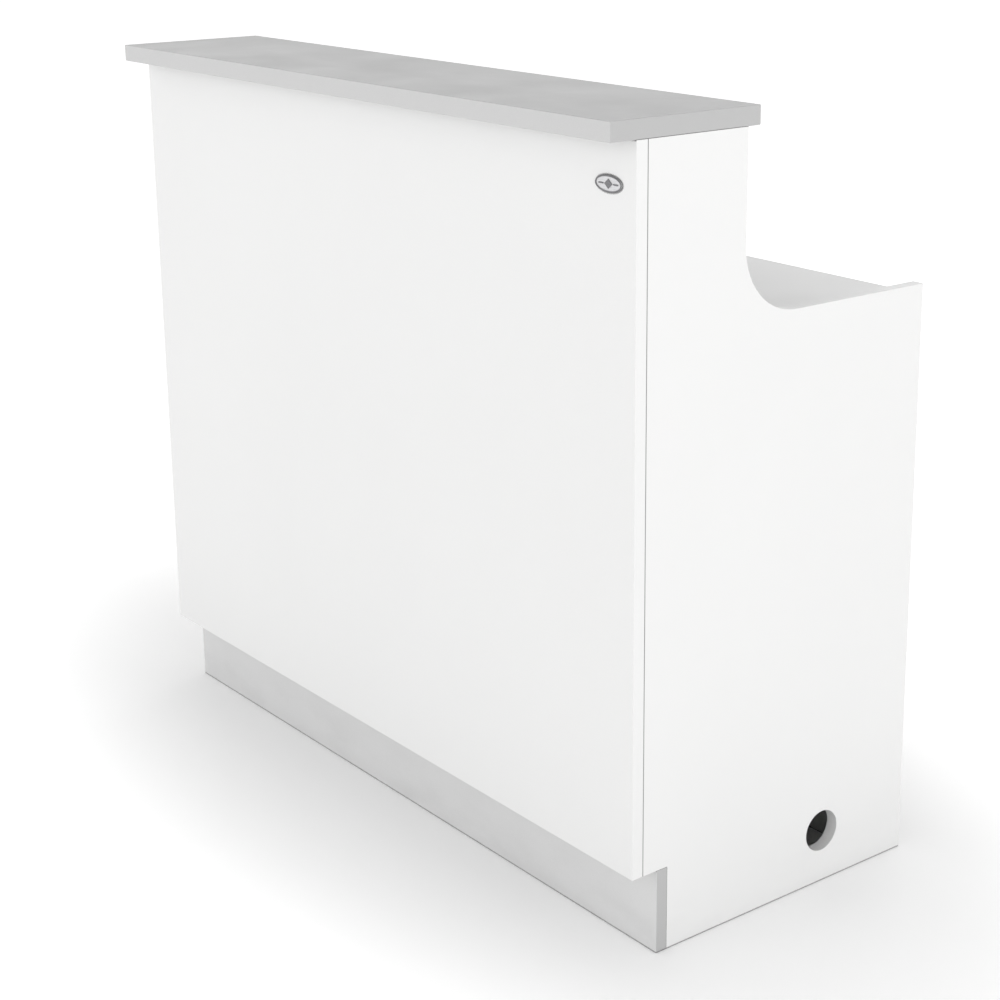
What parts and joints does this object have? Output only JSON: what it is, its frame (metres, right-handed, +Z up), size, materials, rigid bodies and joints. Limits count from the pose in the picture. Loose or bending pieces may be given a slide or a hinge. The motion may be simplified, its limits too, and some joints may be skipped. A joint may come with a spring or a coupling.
{
  "type": "checkout counter",
  "caption": "Board-built checkout counter: raised grey customer ledge, white front and swept sides, operator worktop, drawers with a lock, hinged cupboard, cable hole.",
  "frame": {"origin": "on the floor, under the centre of the whole counter's box", "axes": "+X along the counter's length, to the customer's right; -Y towards the customer; +Z up"},
  "size_m": [1.2, 0.578, 1.1],
  "materials": {
    "white_board": "satin",
    "ledge_laminate": "satin",
    "kick_laminate": "satin",
    "drawer_board": "satin",
    "hardboard": "satin",
    "beech": "matte",
    "zinc_steel": "satin",
    "cam_zinc": "satin",
    "hinge_steel": "satin",
    "satin_nickel": "satin",
    "lock_chrome": "polished",
    "key_steel": "polished",
    "badge_metal": "satin",
    "black_plastic": "matte",
    "catch_plastic": "matte"
  },
  "bodies": {
    "counter": {"adjustable_shelf": "white_board", "badge_plate": "badge_metal", "cam_bolts": "zinc_steel", "cam_locks": "cam_zinc", "dowels": "beech", "front_panel": "white_board", "grommet_sleeve": "black_plastic", "hinge_frame_leaves": "hinge_steel", "hinge_pins": "hinge_steel", "knee_rail": "white_board", "ledge_top": "ledge_laminate", "left_bay_floor": "white_board", "left_ledge_support": "white_board", "left_rear_kick": "kick_laminate", "left_side_panel": "white_board", "left_upright": "white_board", "magnetic_catch": "catch_plastic", "outer_runners": "zinc_steel", "right_bay_floor": "white_board", "right_ledge_support": "white_board", "right_rear_kick": "kick_laminate", "right_side_panel": "white_board", "right_upright": "white_board", "shelf_pins": "zinc_steel", "toe_kick": "kick_laminate", "worktop": "white_board"},
    "drawer_1": {"drawer_1_back": "drawer_board", "drawer_1_bottom": "hardboard", "drawer_1_front": "white_board", "drawer_1_handle": "satin_nickel", "drawer_1_inner_runners": "zinc_steel", "drawer_1_left_side": "drawer_board", "drawer_1_right_side": "drawer_board", "lock_housing": "lock_chrome"},
    "runner_1": {"drawer_1_middle_runners": "zinc_steel"},
    "drawer_2": {"drawer_2_back": "drawer_board", "drawer_2_bottom": "hardboard", "drawer_2_front": "white_board", "drawer_2_handle": "satin_nickel", "drawer_2_inner_runners": "zinc_steel", "drawer_2_left_side": "drawer_board", "drawer_2_right_side": "drawer_board"},
    "runner_2": {"drawer_2_middle_runners": "zinc_steel"},
    "drawer_3": {"drawer_3_back": "drawer_board", "drawer_3_bottom": "hardboard", "drawer_3_front": "white_board", "drawer_3_handle": "satin_nickel", "drawer_3_inner_runners": "zinc_steel", "drawer_3_left_side": "drawer_board", "drawer_3_right_side": "drawer_board"},
    "runner_3": {"drawer_3_middle_runners": "zinc_steel"},
    "lock_barrel": {"lock_plug": "lock_chrome", "lock_tongue": "zinc_steel", "lock_key": "key_steel"},
    "door": {"door_panel": "white_board", "door_handle": "satin_nickel", "hinge_door_leaves": "hinge_steel", "catch_plate": "zinc_steel"},
    "grommet_cap": {"grommet_cap": "black_plastic"}
  },
  "joints": [
    {"name": "drawer_1_slide", "type": "slide", "parent": "counter", "child": "drawer_1", "axis": [0, 1, 0], "range_m": [0, 0.38]},
    {"name": "runner_1_slide", "type": "slide", "parent": "counter", "child": "runner_1", "axis": [0, 1, 0], "range_m": [0, 0.19]},
    {"name": "drawer_2_slide", "type": "slide", "parent": "counter", "child": "drawer_2", "axis": [0, 1, 0], "range_m": [0, 0.38]},
    {"name": "runner_2_slide", "type": "slide", "parent": "counter", "child": "runner_2", "axis": [0, 1, 0], "range_m": [0, 0.19]},
    {"name": "drawer_3_slide", "type": "slide", "parent": "counter", "child": "drawer_3", "axis": [0, 1, 0], "range_m": [0, 0.38]},
    {"name": "runner_3_slide", "type": "slide", "parent": "counter", "child": "runner_3", "axis": [0, 1, 0], "range_m": [0, 0.19]},
    {"name": "lock_turn", "type": "hinge", "parent": "drawer_1", "child": "lock_barrel", "pos_m": [-0.425, 0.25, 0.775], "axis": [0, 1, 0], "range_deg": [0, 90]},
    {"name": "door_swing", "type": "hinge", "parent": "counter", "child": "door", "pos_m": [0.5804, 0.2647, 0.4665], "axis": [0, 0, -1], "range_deg": [0, 170]},
    {"name": "grommet_turn", "type": "hinge", "parent": "counter", "child": "grommet_cap", "pos_m": [0, -0.157, 0.82], "axis": [0, 0, 1], "continuous": true}
  ],
  "couplings": [
    {"joint": "runner_1_slide", "follows": "drawer_1_slide", "ratio": 0.5},
    {"joint": "runner_2_slide", "follows": "drawer_2_slide", "ratio": 0.5},
    {"joint": "runner_3_slide", "follows": "drawer_3_slide", "ratio": 0.5}
  ]
}
